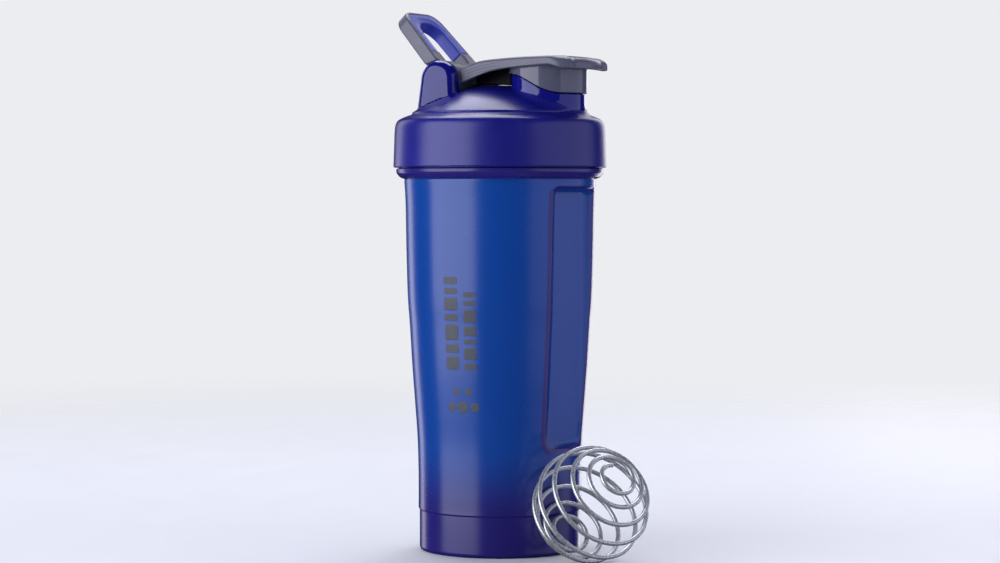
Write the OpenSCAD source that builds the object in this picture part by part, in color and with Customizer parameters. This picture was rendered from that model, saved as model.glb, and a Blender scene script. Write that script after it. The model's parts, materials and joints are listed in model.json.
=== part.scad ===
// Screw-lid shaker bottle with a flip cap, a carry loop and a loose wire whisk ball.
// Millimetres. The origin is on the bottle's axis at the level it stands on.
// +Z is up and +X points from the lid's hinge towards the drinking spout.

/* [Bottle] */
// Height of the bottle's rim above the table
rim_z = 186; // [184:0.5:188]
// Outer radius of the foot
foot_r = 36.2; // [35:0.1:37]
// Height of the foot skirt
foot_h = 18.3; // [16:0.1:20]
// Thickness of the bottle's wall
wall = 1.8; // [1.4:0.1:2.2]
// Outer radius of the threaded neck
neck_r = 43.8; // [43.4:0.1:44]
// Height of the top of the shoulder flange
flange_z = 170.4; // [169:0.1:171]
// Upper end of each grip panel
panel_top = 161.5; // [155:0.5:163]
// Lower end of each grip panel
panel_bottom = 48; // [40:0.5:60]

/* [Thread] */
// Rise of the lid in one turn
thread_lead = 15; // [12:1:18]
// Number of thread starts
thread_starts = 3; // [2:1:4]
// Turn that each thread covers, in degrees
thread_sweep = 90; // [60:5:110]

/* [Lid] */
// Height of the lower edge of the collar
collar_z = 171.6; // [171:0.1:172.5]
// Outer radius of the collar at its lower edge
collar_r = 47.9; // [47:0.1:49]
// Height of the top of the dome
dome_top = 208.4; // [206:0.1:210]
// Thickness of the lid's shell
lid_wall = 2; // [1.6:0.1:2.4]

/* [Spout] */
// Distance of the spout's axis from the bottle's axis
spout_x = 24.8; // [24:0.1:25.5]
// Outer radius of the spout's base
spout_r = 16.4; // [16:0.1:16.6]
// Radius of the drinking hole
spout_bore_r = 13.6; // [12:0.1:14]
// Height of the spout's rim
spout_rim = 215.5; // [214:0.1:216]

/* [Hinge] */
// Distance of the hinge axis behind the bottle's axis
hinge_x = -20.6; // [-22:0.1:-19]
// Height of the hinge axis
hinge_z = 210.4; // [209:0.1:212]
// Radius of the hinge pin
pin_r = 2; // [1.5:0.1:2.5]
// Radius of the arch on top of each hinge tower
tower_r = 9.1; // [8:0.1:9.2]
// Distance of a tower's inner face from the middle
tower_in = 16.4; // [16.3:0.1:17]
// Distance of a tower's outer face from the middle
tower_out = 22.5; // [21:0.1:23]

/* [Flip cap] */
// Height of the top of the cap's paddle
cap_top = 220.1; // [219:0.1:221]
// Radius of the thumb lip's arc around the bottle's axis
lip_r = 47; // [45:0.1:48]
// Outer radius of the skirt around the spout
skirt_r = 17.4; // [17.2:0.1:18]

/* [Carry loop] */
// Length of the loop from the hinge axis
loop_l = 38.9; // [35:0.1:42]
// Width of the loop between the hinge towers
loop_w = 32; // [30:0.5:32]
// Width of the loop above the towers
loop_shoulder_w = 34.4; // [32:0.1:36]
// Thickness of the loop
loop_t = 6.5; // [5:0.1:7]
// Distance of the middle of the loop's thickness in front of the hinge axis
loop_shift = 1.95; // [1:0.05:3]
// How far the loop leans back from upright, in degrees
loop_lean = 42.5; // [38:0.5:46]
// Where the soft grip starts, measured from the hinge axis
grip_start = 13.6; // [13:0.1:16]

/* [Whisk ball] */
// Outer radius of the ball
ball_r = 25.6; // [22:0.1:28]
// Thickness of the wire
wire_d = 2; // [1.5:0.1:2.5]
// Number of turns of wire from pole to pole
ball_turns = 8.4; // [6:0.1:10]
// Angle between each wire end and the pole
ball_pole = 13; // [8:1:20]

/* [Hidden] */

round_steps = 6;
pin_clearance = 0.05;
side_gap = 0.3;

// The bottle's outer wall as [radius, height] from the foot skirt up to the flange
body_profile = [[foot_r + 0.5, foot_h + 0.5], [36.7, 32.8], [37.1, 49], [39.4, 81.4], [40.7, 103],
    [41.4, 112], [42.1, 135.5], [42.5, 157], [43.1, 166.8]];
flange_r = 46.6;
floor_a = foot_r + 0.5;
floor_h = 17.8;
floor_z = foot_h + 0.2;
pad_r = 10;
skirt_in = foot_r - 1.6;
mouth_r = neck_r - 1.9;
panel_half = 14.4;
panel_turn = -4;
// The flat floor of a grip panel as [distance from the axis, height]
panel_floor = [[33.6, 40], [36, 108], [36.5, 151], [36.5, 170]];

thread_depth = 1.6;
thread_root = 1.2;
thread_crest = 0.6;
thread_embed = 0.7;
thread_mid = 178.6;
collar_in = 46;

lip_in = 39.2;
lip_out = 41.2;
plate_z = 188.6;
dome_edge = 39.4;
dome_edge_z = 196.2;
dome_steps = 10;

skirt_in_r = 15.9;
spout_tube_r = 15.2;
ledge_gap = 0.45;
curve_high = 213;
curve_low = 204.2;
curve_from = 13;
curve_to = 38;
curve_steps = 10;

hub_r = 9.1;
hub_in = 9.9;
knuckle_r = 8.8;
knuckle_half = 9.6;
web_half = 4;
pocket_r = 9.5;
pin_half = 20.5;

cap_wall = 2;
cap_plate = 2.4;
lip_low = 214.6;
lip_corner = 11;
seal_r = 13;
seal_in = 11;
seal_low = 212.3;

hole_half = 9.5;
tip_half = 14.4;
rim_w = 1.3;
grip_front = 4.5;
grip_liner = 1.2;

ball_distance = 62.5;
ball_bearing = -20.7;
ball_axis = [0, 54.1, -29.2];
ball_phase = 180;
ball_ease = 0.35;
wire_sides = 8;
wire_steps = 30;

gasket_in = 41.35;
gasket_out = 44.5;
gasket_low = 186.35;
gasket_high = 188.5;

mark_film = 0.25;
mark_gap = 0.02;
mark_angle = -84.4;
mark_bars = [[62, 80], [83, 101], [104.5, 111], [114, 124]];
mark_turn = 25;

// Points of a polygon whose corners [x, y, r] are rounded to the radius r
function unit(v) = v / norm(v);
function corner(a, b, c) =
    let (p = [b.x, b.y], to_a = unit([a.x, a.y] - p), to_c = unit([c.x, c.y] - p))
    let (half = acos(to_a * to_c) / 2, mid = unit(to_a + to_c))
    let (centre = p + mid * b.z / sin(half), turn = sign(cross(to_a, to_c)))
    let (start = atan2(-mid.y, -mid.x) - turn * (half - 90))
    [for (k = [0:round_steps]) let (t = start + turn * (2 * half - 180) * k / round_steps)
        centre + b.z * [cos(t), sin(t)]];
function rounded(points) =
    let (n = len(points))
    [for (i = [0:n - 1]) each points[i].z > 0
        ? corner(points[(i + n - 1) % n], points[i], points[(i + 1) % n])
        : [[points[i].x, points[i].y]]];

// Mirrored outline: the points with positive x, bottom to top, then their mirror images
function both_sides(points) =
    concat(points, [for (i = [len(points) - 1:-1:0]) [-points[i].x, points[i].y, points[i].z]]);

// A solid through a list of rings that all have the same number of points
module swept(rings) {
    n = len(rings[0]);
    last = len(rings) - 1;
    points = [for (ring = rings) each ring];
    walls = [for (i = [0:last - 1], j = [0:n - 1])
        let (a = i * n + j, b = i * n + (j + 1) % n)
        each [[a, b, a + n], [b, b + n, a + n]]];
    ends = concat([for (j = [1:n - 2]) [0, j + 1, j]],
        [for (j = [1:n - 2]) [last * n, last * n + j, last * n + j + 1]]);
    polyhedron(points, concat(walls, ends));
}

// Threads: ridges that stand dir = 1 outward or dir = -1 inward of the wall at radius r. Each is
// part of a ring tipped by the thread's own slope, so that it climbs as a helix does.
module thread(r, dir, mid) {
    slope = atan(thread_lead / (2 * PI * r));
    for (s = [0:thread_starts - 1])
        rotate([0, 0, s * 360 / thread_starts])
            translate([0, 0, mid])
                rotate([slope, 0, 0])
                    rotate([0, 0, -thread_sweep / 2])
                        rotate_extrude(angle = thread_sweep)
                            polygon([[r - dir * thread_embed, -thread_root],
                                [r + dir * thread_depth, -thread_crest],
                                [r + dir * thread_depth, thread_crest],
                                [r - dir * thread_embed, thread_root]]);
}

// Quarter of an ellipse from the axis out to radius a, below the height z
function bowl(a, h, z, steps) =
    [for (k = [0:steps]) [a * sin(90 * k / steps), z - h * cos(90 * k / steps)]];

// Height of the line where the spout's skirt ends, which falls towards the front
function curve_z(x) =
    let (t = max(0, min(1, (x - curve_from) / (curve_to - curve_from))))
    curve_high + (curve_low - curve_high) * t * t * (3 - 2 * t);
module above_curve(shift) {
    points = [for (k = [0:curve_steps])
        let (x = curve_from + (curve_to - curve_from) * k / curve_steps) [x, curve_z(x) + shift]];
    rotate([90, 0, 0])
        linear_extrude(60, center = true)
            polygon(concat([[-10, 240], [-10, curve_high + shift]], points,
                [[70, curve_low + shift], [70, 240]]));
}

// Puts a shape drawn around the Z axis onto the hinge axis
module at_hinge() {
    translate([hinge_x, 0, hinge_z])
        rotate([90, 0, 0])
            children();
}

// ---- bottle ----
module body_outside() {
    flange = [for (k = [1:6]) let (t = 90 * k / 6)
        [43.1 + (flange_r - 43.1) * (1 - cos(t)), 166.8 + (flange_z - 166.8) * sin(t)]];
    rotate_extrude()
        polygon(concat([[0, floor_z]], [[floor_a, floor_z]], body_profile, flange,
            [[neck_r, flange_z], [neck_r, rim_z], [0, rim_z]]));
}
module body_inside() {
    inner = [for (p = body_profile) [p[0] - wall, p[1]]];
    rotate_extrude()
        polygon(concat(bowl(floor_a - wall, floor_h - wall, floor_z, 12), inner,
            [[mouth_r, 172], [mouth_r, rim_z + 1], [0, rim_z + 1]]));
}
module bowl_shell() {
    rotate_extrude()
        polygon(concat(bowl(floor_a, floor_h, floor_z, 12), [[floor_a, floor_z + 1], [0, floor_z + 1]]));
    cylinder(h = floor_z, r = pad_r, $fn = 96);
}
module foot() {
    rotate_extrude()
        polygon([[skirt_in, 0], [foot_r - 1.2, 0], [foot_r - 0.3, 0.4], [foot_r, 1.4],
            [foot_r, foot_h], [foot_r + 0.5, foot_h + 0.3], [foot_r + 0.5, foot_h + 1], [skirt_in, foot_h + 1]]);
}
module panel(grow) {
    outline = [[panel_half + 0.2 + grow, panel_bottom - grow, 6], [panel_half + grow, panel_top + grow, 4]];
    intersection() {
        rotate([90, 0, 90])
            linear_extrude(60)
                polygon(rounded(both_sides(outline)));
        rotate([90, 0, 0])
            linear_extrude(60, center = true)
                polygon(concat([for (p = panel_floor) [p[0] - grow, p[1]]], [[60, 170], [60, 40]]));
    }
}
module panels(grow) {
    for (turn = [panel_turn, panel_turn + 180])
        rotate(turn)
            panel(grow);
}
module bottle() {
    color([0.1, 0.2, 0.55, 0.75]) {
        difference() {
            union() {
                body_outside();
                bowl_shell();
                foot();
            }
            panels(0);
            difference() {
                body_inside();
                panels(wall);
            }
        }
        thread(neck_r, 1, thread_mid);
    }
}
module printed_mark() {
    color([0.28, 0.3, 0.36])
        for (bar = mark_bars)
            rotate([0, 0, mark_angle - mark_turn / 2])
                rotate_extrude(angle = mark_turn)
                    polygon([[lookup(bar[0], wall_at) + mark_gap, bar[0]],
                        [lookup(bar[0], wall_at) + mark_film, bar[0]],
                        [lookup(bar[1], wall_at) + mark_film, bar[1]],
                        [lookup(bar[1], wall_at) + mark_gap, bar[1]]]);
}
wall_at = [for (p = body_profile) [p[1], p[0]]];

// ---- lid and what it carries ----
module lid_gasket() {
    color([0.12, 0.12, 0.13])
        rotate_extrude()
            polygon([[gasket_in, gasket_low], [gasket_out, gasket_low],
                [gasket_out, gasket_high], [gasket_in, gasket_high]]);
}

// The dome as [radius, height] from its foot to the axis, drop millimetres below its outside
function dome(drop) =
    [for (k = [0:dome_steps]) let (t = 1 - k / dome_steps)
        [(dome_edge - drop * 0.6) * t,
        dome_edge_z - drop + (dome_top - dome_edge_z) * (1 - pow(t, 2.1))]];
module lid_outside() {
    rotate_extrude()
        polygon(concat([[0, collar_z], [collar_r, collar_z], [collar_r - 0.4, 183], [46.8, 190.8],
            [46.1, 192.2], [44.4, 193.5], [41.2, 194.9]], dome(0)));
}
module lid_inside() {
    rotate_extrude()
        polygon(concat([[0, collar_z - 1], [collar_in, collar_z - 1], [collar_in, 187], [44.9, plate_z],
            [lip_out, plate_z], [lip_out, 183.5], [lip_in, 183.5]], dome(lid_wall)));
}
module tower() {
    translate([0, tower_out, 0])
        rotate([90, 0, 0])
            linear_extrude(tower_out - tower_in)
                union() {
                    translate([hinge_x, hinge_z])
                        circle(r = tower_r, $fn = 96);
                    polygon([[-32.6, 194], [hinge_x - tower_r, hinge_z], [hinge_x + tower_r, hinge_z],
                        [-10.6, 194]]);
                }
}
module spout_outside() {
    difference() {
        translate([spout_x, 0, plate_z])
            cylinder(h = 40, r = spout_r, $fn = 96);
        above_curve(-ledge_gap);
    }
    translate([spout_x, 0, plate_z])
        cylinder(h = spout_rim - plate_z, r = spout_tube_r, $fn = 96);
}
module lid() {
    color([0.19, 0.19, 0.62]) {
        difference() {
            union() {
                lid_outside();
                tower();
                mirror([0, 1, 0])
                    tower();
                spout_outside();
            }
            difference() {
                lid_inside();
                at_hinge()
                    cylinder(h = 2 * tower_in + 3, r = pocket_r + 1.8, center = true, $fn = 96);
            }
            translate([spout_x, 0, plate_z - 1])
                cylinder(h = 40, r = spout_bore_r, $fn = 96);
            at_hinge()
                cylinder(h = 2 * tower_in, r = pocket_r, center = true, $fn = 96);
            at_hinge()
                cylinder(h = 2 * pin_half, r = pin_r, center = true, $fn = 48);
        }
        thread(collar_in, -1, thread_mid - thread_lead / thread_starts / 2);
    }
}
module hinge_pin() {
    color([0.72, 0.73, 0.75])
        at_hinge()
            cylinder(h = 2 * pin_half, r = pin_r, center = true, $fn = 48);
}

// ---- flip cap ----
module cap_plan(inset) {
    edge = lip_corner + 9.4 - inset;
    turn = [for (k = [0:6]) let (t = 90 - 75 * k / 6)
        [34.75 + (lip_corner - inset) * cos(t), 9.4 + (lip_corner - inset) * sin(t)]];
    front = [for (k = [1:5]) let (t = 15 - 3 * k) (lip_r - inset) * [cos(t), sin(t)]];
    half = concat([[-14 + inset, 15.4 - inset], [-8, 15.4 - inset], [20, edge - 1.2]], turn, front);
    polygon(concat(half, [for (k = [len(half) - 2:-1:0]) [half[k].x, -half[k].y]]));
}
cap_roof = [[-12.2, 215.4], [-8, 217.1], [-1.7, 218.8], [10, 219.7], [30, cap_top], [60, cap_top]];
cap_sill = [[60, 216.2], [20, 215.6], [3, 213.7], [-12.2, 208.7]];
module cap_side(points) {
    rotate([90, 0, 0])
        linear_extrude(60, center = true)
            polygon(points);
}
module cap_lip(inset) {
    rotate_extrude($fn = 128)
        polygon([[0, 200], [lip_r - inset, 200], [lip_r - inset, 217.6 - inset], [lip_r - 1.2 - inset, 219.1 - inset],
            [lip_r - 4 - inset, cap_top - 0.2 - inset], [lip_r - 8, cap_top - inset], [0, cap_top - inset]]);
}
module cap_shell() {
    difference() {
        intersection() {
            translate([0, 0, 200])
                linear_extrude(40)
                    cap_plan(0);
            cap_lip(0);
            union() {
                cap_side(concat(cap_roof, cap_sill));
                rotate_extrude($fn = 128)
                    polygon([[lip_r - 3.4, 216], [lip_r - 2, lip_low], [lip_r + 1, lip_low], [lip_r + 1, cap_top],
                        [lip_r - 3.4, cap_top]]);
            }
        }
        intersection() {
            translate([0, 0, 200])
                linear_extrude(40)
                    cap_plan(cap_wall);
            cap_lip(cap_wall);
            cap_side(concat([[-13, 200]], [for (p = cap_roof) [p[0], p[1] - cap_plate]], [[60, 200]]));
        }
        at_hinge()
            cylinder(h = 60, r = hub_r + side_gap, center = true, $fn = 96);
    }
}
module cap_skirt() {
    intersection() {
        translate([spout_x, 0, 200])
            difference() {
                cylinder(h = 18.5, r = skirt_r, $fn = 96);
                translate([0, 0, -1])
                    cylinder(h = 21, r = skirt_in_r, $fn = 96);
            }
        above_curve(0);
    }
}
module cap_knuckle() {
    at_hinge()
        cylinder(h = 2 * knuckle_half, r = knuckle_r, center = true, $fn = 96);
    translate([hinge_x, 0, hinge_z])
        rotate([90, 0, 0])
            linear_extrude(2 * web_half, center = true)
                polygon([[0, -1.65], [28.4, -1.65], [28.4, 7.6], [14, 6.6], [8, 4.3], [0, 4.3]]);
}
module flip_cap() {
    color([0.4, 0.41, 0.47])
        difference() {
            union() {
                cap_shell();
                cap_skirt();
                cap_knuckle();
                translate([spout_x, 0, seal_low])
                    difference() {
                        cylinder(h = 6, r = seal_in, $fn = 96);
                        translate([0, 0, -1])
                            cylinder(h = 6, r = seal_in - cap_wall, $fn = 96);
                    }
            }
            at_hinge()
                cylinder(h = 60, r = pin_r + pin_clearance, center = true, $fn = 48);
        }
}
module spout_seal() {
    color([0.16, 0.17, 0.2])
        translate([spout_x, 0, seal_low])
            difference() {
                cylinder(h = 3.4, r = seal_r, $fn = 96);
                translate([0, 0, -1])
                    cylinder(h = 6, r = seal_in, $fn = 96);
            }
}

// ---- carry loop ----
// Drawn flat: x across the loop, y away from the hinge, thickness along z with the front at +z
module loop_frame() {
    translate([hinge_x, 0, hinge_z])
        rotate([0, -loop_lean, 0])
            rotate([90, 0, 90])
                children();
}
loop_outside = [[loop_shoulder_w / 2 + 1.3, 0, 0], [tip_half, loop_l, 8]];
grip_outside = [[loop_shoulder_w / 2 - rim_w - 0.1, grip_start, 0], [tip_half - rim_w, loop_l - rim_w, 8 - rim_w]];
function hole_outline(grow) = [[hole_half + grow, grip_start, 0], [8.9 + grow, 32.3 + grow, 7 + grow]];
module slab(outline, low, high) {
    translate([0, 0, low])
        linear_extrude(high - low)
            polygon(rounded(both_sides(outline)));
}
// Space over a tower's arch, drawn as [away from the hinge, thickness]
module over_tower() {
    translate([loop_w / 2, 0, 0])
        rotate([90, 0, 90])
            linear_extrude(10)
                polygon([[-15, 8], [6.75, 8], [11.27, -1.6], [11.27, -5], [-15, -5]]);
}
module grip_solid() {
    front = loop_shift + loop_t / 2;
    difference() {
        union() {
            slab(grip_outside, front - grip_front, front);
            slab(hole_outline(grip_liner), front - loop_t, front);
        }
        slab(hole_outline(0), front - loop_t - 1, front + 1);
    }
}
module carry_loop() {
    front = loop_shift + loop_t / 2;
    color([0.4, 0.41, 0.47])
        difference() {
            union() {
                loop_frame()
                    difference() {
                        slab(loop_outside, front - loop_t, front);
                        over_tower();
                        mirror([1, 0, 0])
                            over_tower();
                        slab([[hole_half, -1, 0], [hole_half, grip_start, 0]], front - loop_t - 1, front + 1);
                        slab(grip_outside, front - grip_front, front + 1);
                        slab(hole_outline(grip_liner), front - loop_t - 1, front + 1);
                    }
                at_hinge()
                    cylinder(h = loop_w, r = hub_r, center = true, $fn = 96);
            }
            at_hinge()
                cylinder(h = 2 * hub_in, r = knuckle_r + 0.35, center = true, $fn = 96);
            at_hinge()
                cylinder(h = 60, r = pin_r + pin_clearance, center = true, $fn = 48);
        }
}
module loop_grip() {
    color([0.24, 0.28, 0.68])
        loop_frame()
            grip_solid();
}

// ---- whisk ball ----
// Angle from the pole after the share s of the wire; the turns lie closer near the poles
function ball_polar(s) = ball_pole + (180 - 2 * ball_pole) * (s - ball_ease * sin(360 * s) / (2 * PI));
function on_ball(s) =
    let (polar = ball_polar(s), turn = ball_phase + 360 * ball_turns * s)
    [sin(polar) * cos(turn), sin(polar) * sin(turn), cos(polar)];
function wire_ring(s) =
    let (out = on_ball(s), ahead = unit(on_ball(s + 0.0005) - on_ball(s - 0.0005)))
    let (across = cross(out, ahead))
    [for (j = [0:wire_sides - 1]) let (a = 360 * j / wire_sides)
        (ball_r - wire_d / 2) * out + wire_d / 2 * (cos(a) * out + sin(a) * across)];
module whisk_ball() {
    rings = round(ball_turns * wire_steps);
    color([0.78, 0.79, 0.8])
        rotate([0, 0, ball_bearing])
            translate([ball_distance, 0, ball_r])
                rotate([0, 0, -ball_bearing])
                    rotate(ball_axis)
                        swept([for (k = [0:rings]) wire_ring(k / rings)]);
}

bottle();
printed_mark();
lid_gasket();
lid();
hinge_pin();
flip_cap();
spout_seal();
carry_loop();
loop_grip();
whisk_ball();
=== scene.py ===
"""Looks of the shaker bottle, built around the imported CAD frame. Lengths inside the
functions are in millimetres, in the frame's own axes; MM turns them into metres."""

import json
import math

import bpy
import numpy as np
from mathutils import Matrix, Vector


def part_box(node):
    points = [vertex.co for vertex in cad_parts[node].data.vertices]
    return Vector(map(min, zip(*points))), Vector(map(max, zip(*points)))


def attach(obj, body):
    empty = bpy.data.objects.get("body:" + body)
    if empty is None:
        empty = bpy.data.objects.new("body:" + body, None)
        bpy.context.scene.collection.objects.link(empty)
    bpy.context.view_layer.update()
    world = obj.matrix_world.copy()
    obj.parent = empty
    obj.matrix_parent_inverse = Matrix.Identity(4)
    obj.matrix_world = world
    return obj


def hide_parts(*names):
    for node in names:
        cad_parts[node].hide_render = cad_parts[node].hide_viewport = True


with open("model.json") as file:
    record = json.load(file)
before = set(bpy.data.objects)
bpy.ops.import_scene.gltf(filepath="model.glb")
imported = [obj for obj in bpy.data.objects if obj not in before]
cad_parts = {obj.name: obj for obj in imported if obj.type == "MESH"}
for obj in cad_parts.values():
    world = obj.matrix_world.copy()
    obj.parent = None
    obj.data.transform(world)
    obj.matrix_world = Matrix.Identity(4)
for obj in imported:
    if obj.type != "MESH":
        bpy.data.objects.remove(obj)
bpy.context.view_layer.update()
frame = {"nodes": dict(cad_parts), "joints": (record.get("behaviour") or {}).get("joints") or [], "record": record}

MM = 0.001


# ---------------------------------------------------------------- sizes from the frame

def joint(name):
    """The frame's entry for the joint of that name."""
    return next(j for j in frame["joints"] if j["name"] == name)


def box_mm(node):
    """Lowest and highest corner of a CAD node, in millimetres."""
    low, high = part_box(node)
    return np.array(low) / MM, np.array(high) / MM


HINGE_X, _, HINGE_Z = (v / MM for v in joint("cap_open")["pos_m"])
SEAL_LOW, SEAL_HIGH = box_mm("spout_seal")
BALL_LOW, BALL_HIGH = box_mm("whisk_ball")
PIN_LOW, PIN_HIGH = box_mm("hinge_pin")
RIM_Z = box_mm("bottle")[1][2]
COLLAR_Z = box_mm("lid")[0][2]
SPOUT_X = (SEAL_LOW[0] + SEAL_HIGH[0]) / 2
PIN_R = (PIN_HIGH[2] - PIN_LOW[2]) / 2
THREAD_LEAD = abs(frame["record"]["behaviour"]["couplings"][0]["ratio"]) * 2 * math.pi / MM


# ---------------------------------------------------------------- flat outlines

def arc_corner(before, at, after, radius, steps):
    """Points of the arc of that radius which rounds the corner at."""
    to_before = (before - at) / np.linalg.norm(before - at)
    to_after = (after - at) / np.linalg.norm(after - at)
    half = math.acos(float(np.clip(to_before @ to_after, -1, 1))) / 2
    mid = (to_before + to_after) / np.linalg.norm(to_before + to_after)
    centre = at + mid * radius / math.sin(half)
    first = at + to_before * radius / math.tan(half) - centre
    last = at + to_after * radius / math.tan(half) - centre
    a, b = math.atan2(first[1], first[0]), math.atan2(last[1], last[0])
    turn = (b - a + math.pi) % (2 * math.pi) - math.pi
    angles = a + turn * np.linspace(0, 1, steps)
    return centre + radius * np.stack([np.cos(angles), np.sin(angles)], 1)


def rounded(points, steps=9):
    """Closed outline through the corners (x, y, radius)."""
    out = []
    corners = [np.array(p[:2], float) for p in points]
    for i, p in enumerate(points):
        if p[2] > 0:
            after = corners[(i + 1) % len(points)]
            out.extend(arc_corner(corners[i - 1], corners[i], after, p[2], steps))
        else:
            out.append(corners[i])
    return np.array(out)


def smooth_line(points, steps=8):
    """Points of a smooth curve through the given ones."""
    p = np.array(points, float)
    p = np.vstack([2 * p[0] - p[1], p, 2 * p[-1] - p[-2]])
    out = []
    for i in range(1, len(p) - 2):
        t = np.linspace(0, 1, steps, endpoint=False)[:, None]
        gap_a, gap, gap_b = (np.linalg.norm(p[i + k + 1] - p[i + k]) ** 0.5 for k in (-1, 0, 1))
        m1 = gap * ((p[i] - p[i - 1]) / gap_a - (p[i + 1] - p[i - 1]) / (gap_a + gap)
                    + (p[i + 1] - p[i]) / gap)
        m2 = gap * ((p[i + 1] - p[i]) / gap - (p[i + 2] - p[i]) / (gap + gap_b)
                    + (p[i + 2] - p[i + 1]) / gap_b)
        out.append((2 * t**3 - 3 * t**2 + 1) * p[i] + (t**3 - 2 * t**2 + t) * m1
                   + (-2 * t**3 + 3 * t**2) * p[i + 1] + (t**3 - t**2) * m2)
    out.append(p[-2:-1])
    return np.vstack(out)


def outline_distance(outline, x, y):
    """Signed distance from points to a closed outline, below zero inside."""
    best = np.full(x.shape, 1e9)
    inside = np.zeros(x.shape, bool)
    for (ax, ay), (bx, by) in zip(outline, np.roll(outline, -1, 0)):
        ex, ey = bx - ax, by - ay
        if ex * ex + ey * ey < 1e-12:
            continue
        t = np.clip(((x - ax) * ex + (y - ay) * ey) / (ex * ex + ey * ey), 0, 1)
        best = np.minimum(best, (x - ax - t * ex) ** 2 + (y - ay - t * ey) ** 2)
        if ey != 0:
            crosses = (ay > y) != (by > y)
            inside ^= crosses & (x < ax + (y - ay) * ex / ey)
    return np.where(inside, -1, 1) * np.sqrt(best)


class Flat:
    """Signed distance to a closed outline, looked up in a grid made once."""

    def __init__(self, outline, pad=6.0, step=0.15):
        outline = np.array(outline, float)
        self.low = outline.min(0) - pad
        self.step = step
        self.shape = np.ceil((outline.max(0) + pad - self.low) / step).astype(int) + 1
        axes = (self.low[k] + step * np.arange(self.shape[k]) for k in (0, 1))
        gx, gy = np.meshgrid(*axes, indexing="ij")
        self.values = outline_distance(outline, gx, gy)

    def __call__(self, x, y):
        u = np.clip((x - self.low[0]) / self.step, 0, self.shape[0] - 1.001)
        v = np.clip((y - self.low[1]) / self.step, 0, self.shape[1] - 1.001)
        i, j = u.astype(np.int32), v.astype(np.int32)
        u, v = u - i, v - j
        g = self.values
        return ((g[i, j] * (1 - u) + g[i + 1, j] * u) * (1 - v)
                + (g[i, j + 1] * (1 - u) + g[i + 1, j + 1] * u) * v)


# ---------------------------------------------------------------- solids as distance fields

def join(a, b, r):
    """Both solids, with a fillet of radius r where they meet."""
    return np.maximum(r, np.minimum(a, b)) - np.hypot(np.maximum(r - a, 0), np.maximum(r - b, 0))


def common(a, b, r):
    """What both solids hold, with its edge rounded to radius r."""
    return np.minimum(-r, np.maximum(a, b)) + np.hypot(np.maximum(r + a, 0), np.maximum(r + b, 0))


def cut(a, b, r):
    """Solid a without b, with the new edge rounded to radius r."""
    return common(a, -b, r)


def smooth_step(t):
    """0 below 0, 1 above 1 and a smooth rise between."""
    t = np.clip(t, 0, 1)
    return t * t * (3 - 2 * t)


CELL_CORNERS = np.array([(i, j, k) for i in (0, 1) for j in (0, 1) for k in (0, 1)])
CELL_EDGES = [(a, b) for a in range(8) for b in range(a + 1, 8)
              if np.abs(CELL_CORNERS[a] - CELL_CORNERS[b]).sum() == 1]
COARSE = 4


def sample(field, low, shape, step):
    """The field on a grid. It is worked out only in the blocks that its surface may cross."""
    blocks = shape // COARSE + 1
    half = COARSE * step / 2
    axes = (low[k] + half + COARSE * step * np.arange(blocks[k]) for k in range(3))
    grids = np.meshgrid(*axes, indexing="ij")
    centre = field(*(g.ravel() for g in grids)).reshape(blocks)
    near = np.abs(centre) < half * 2.3
    for k in range(3):
        near = np.repeat(near, COARSE, k)
        centre = np.repeat(centre, COARSE, k)
    grown = near.copy()
    for k in range(3):
        grown |= np.roll(near, 1, k)
        near = grown.copy()
    values = np.where(centre < 0, -1.0, 1.0)
    at = np.argwhere(grown)
    values[tuple(at.T)] = field(*(low[k] + step * at[:, k] for k in range(3)))
    return values


def slope(field, p, reach=0.03):
    """Gradient of the field at the points."""
    out = np.empty_like(p)
    for k in range(3):
        ahead, back = p.copy(), p.copy()
        ahead[:, k] += reach
        back[:, k] -= reach
        out[:, k] = (field(*ahead.T) - field(*back.T)) / (2 * reach)
    return out


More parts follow.
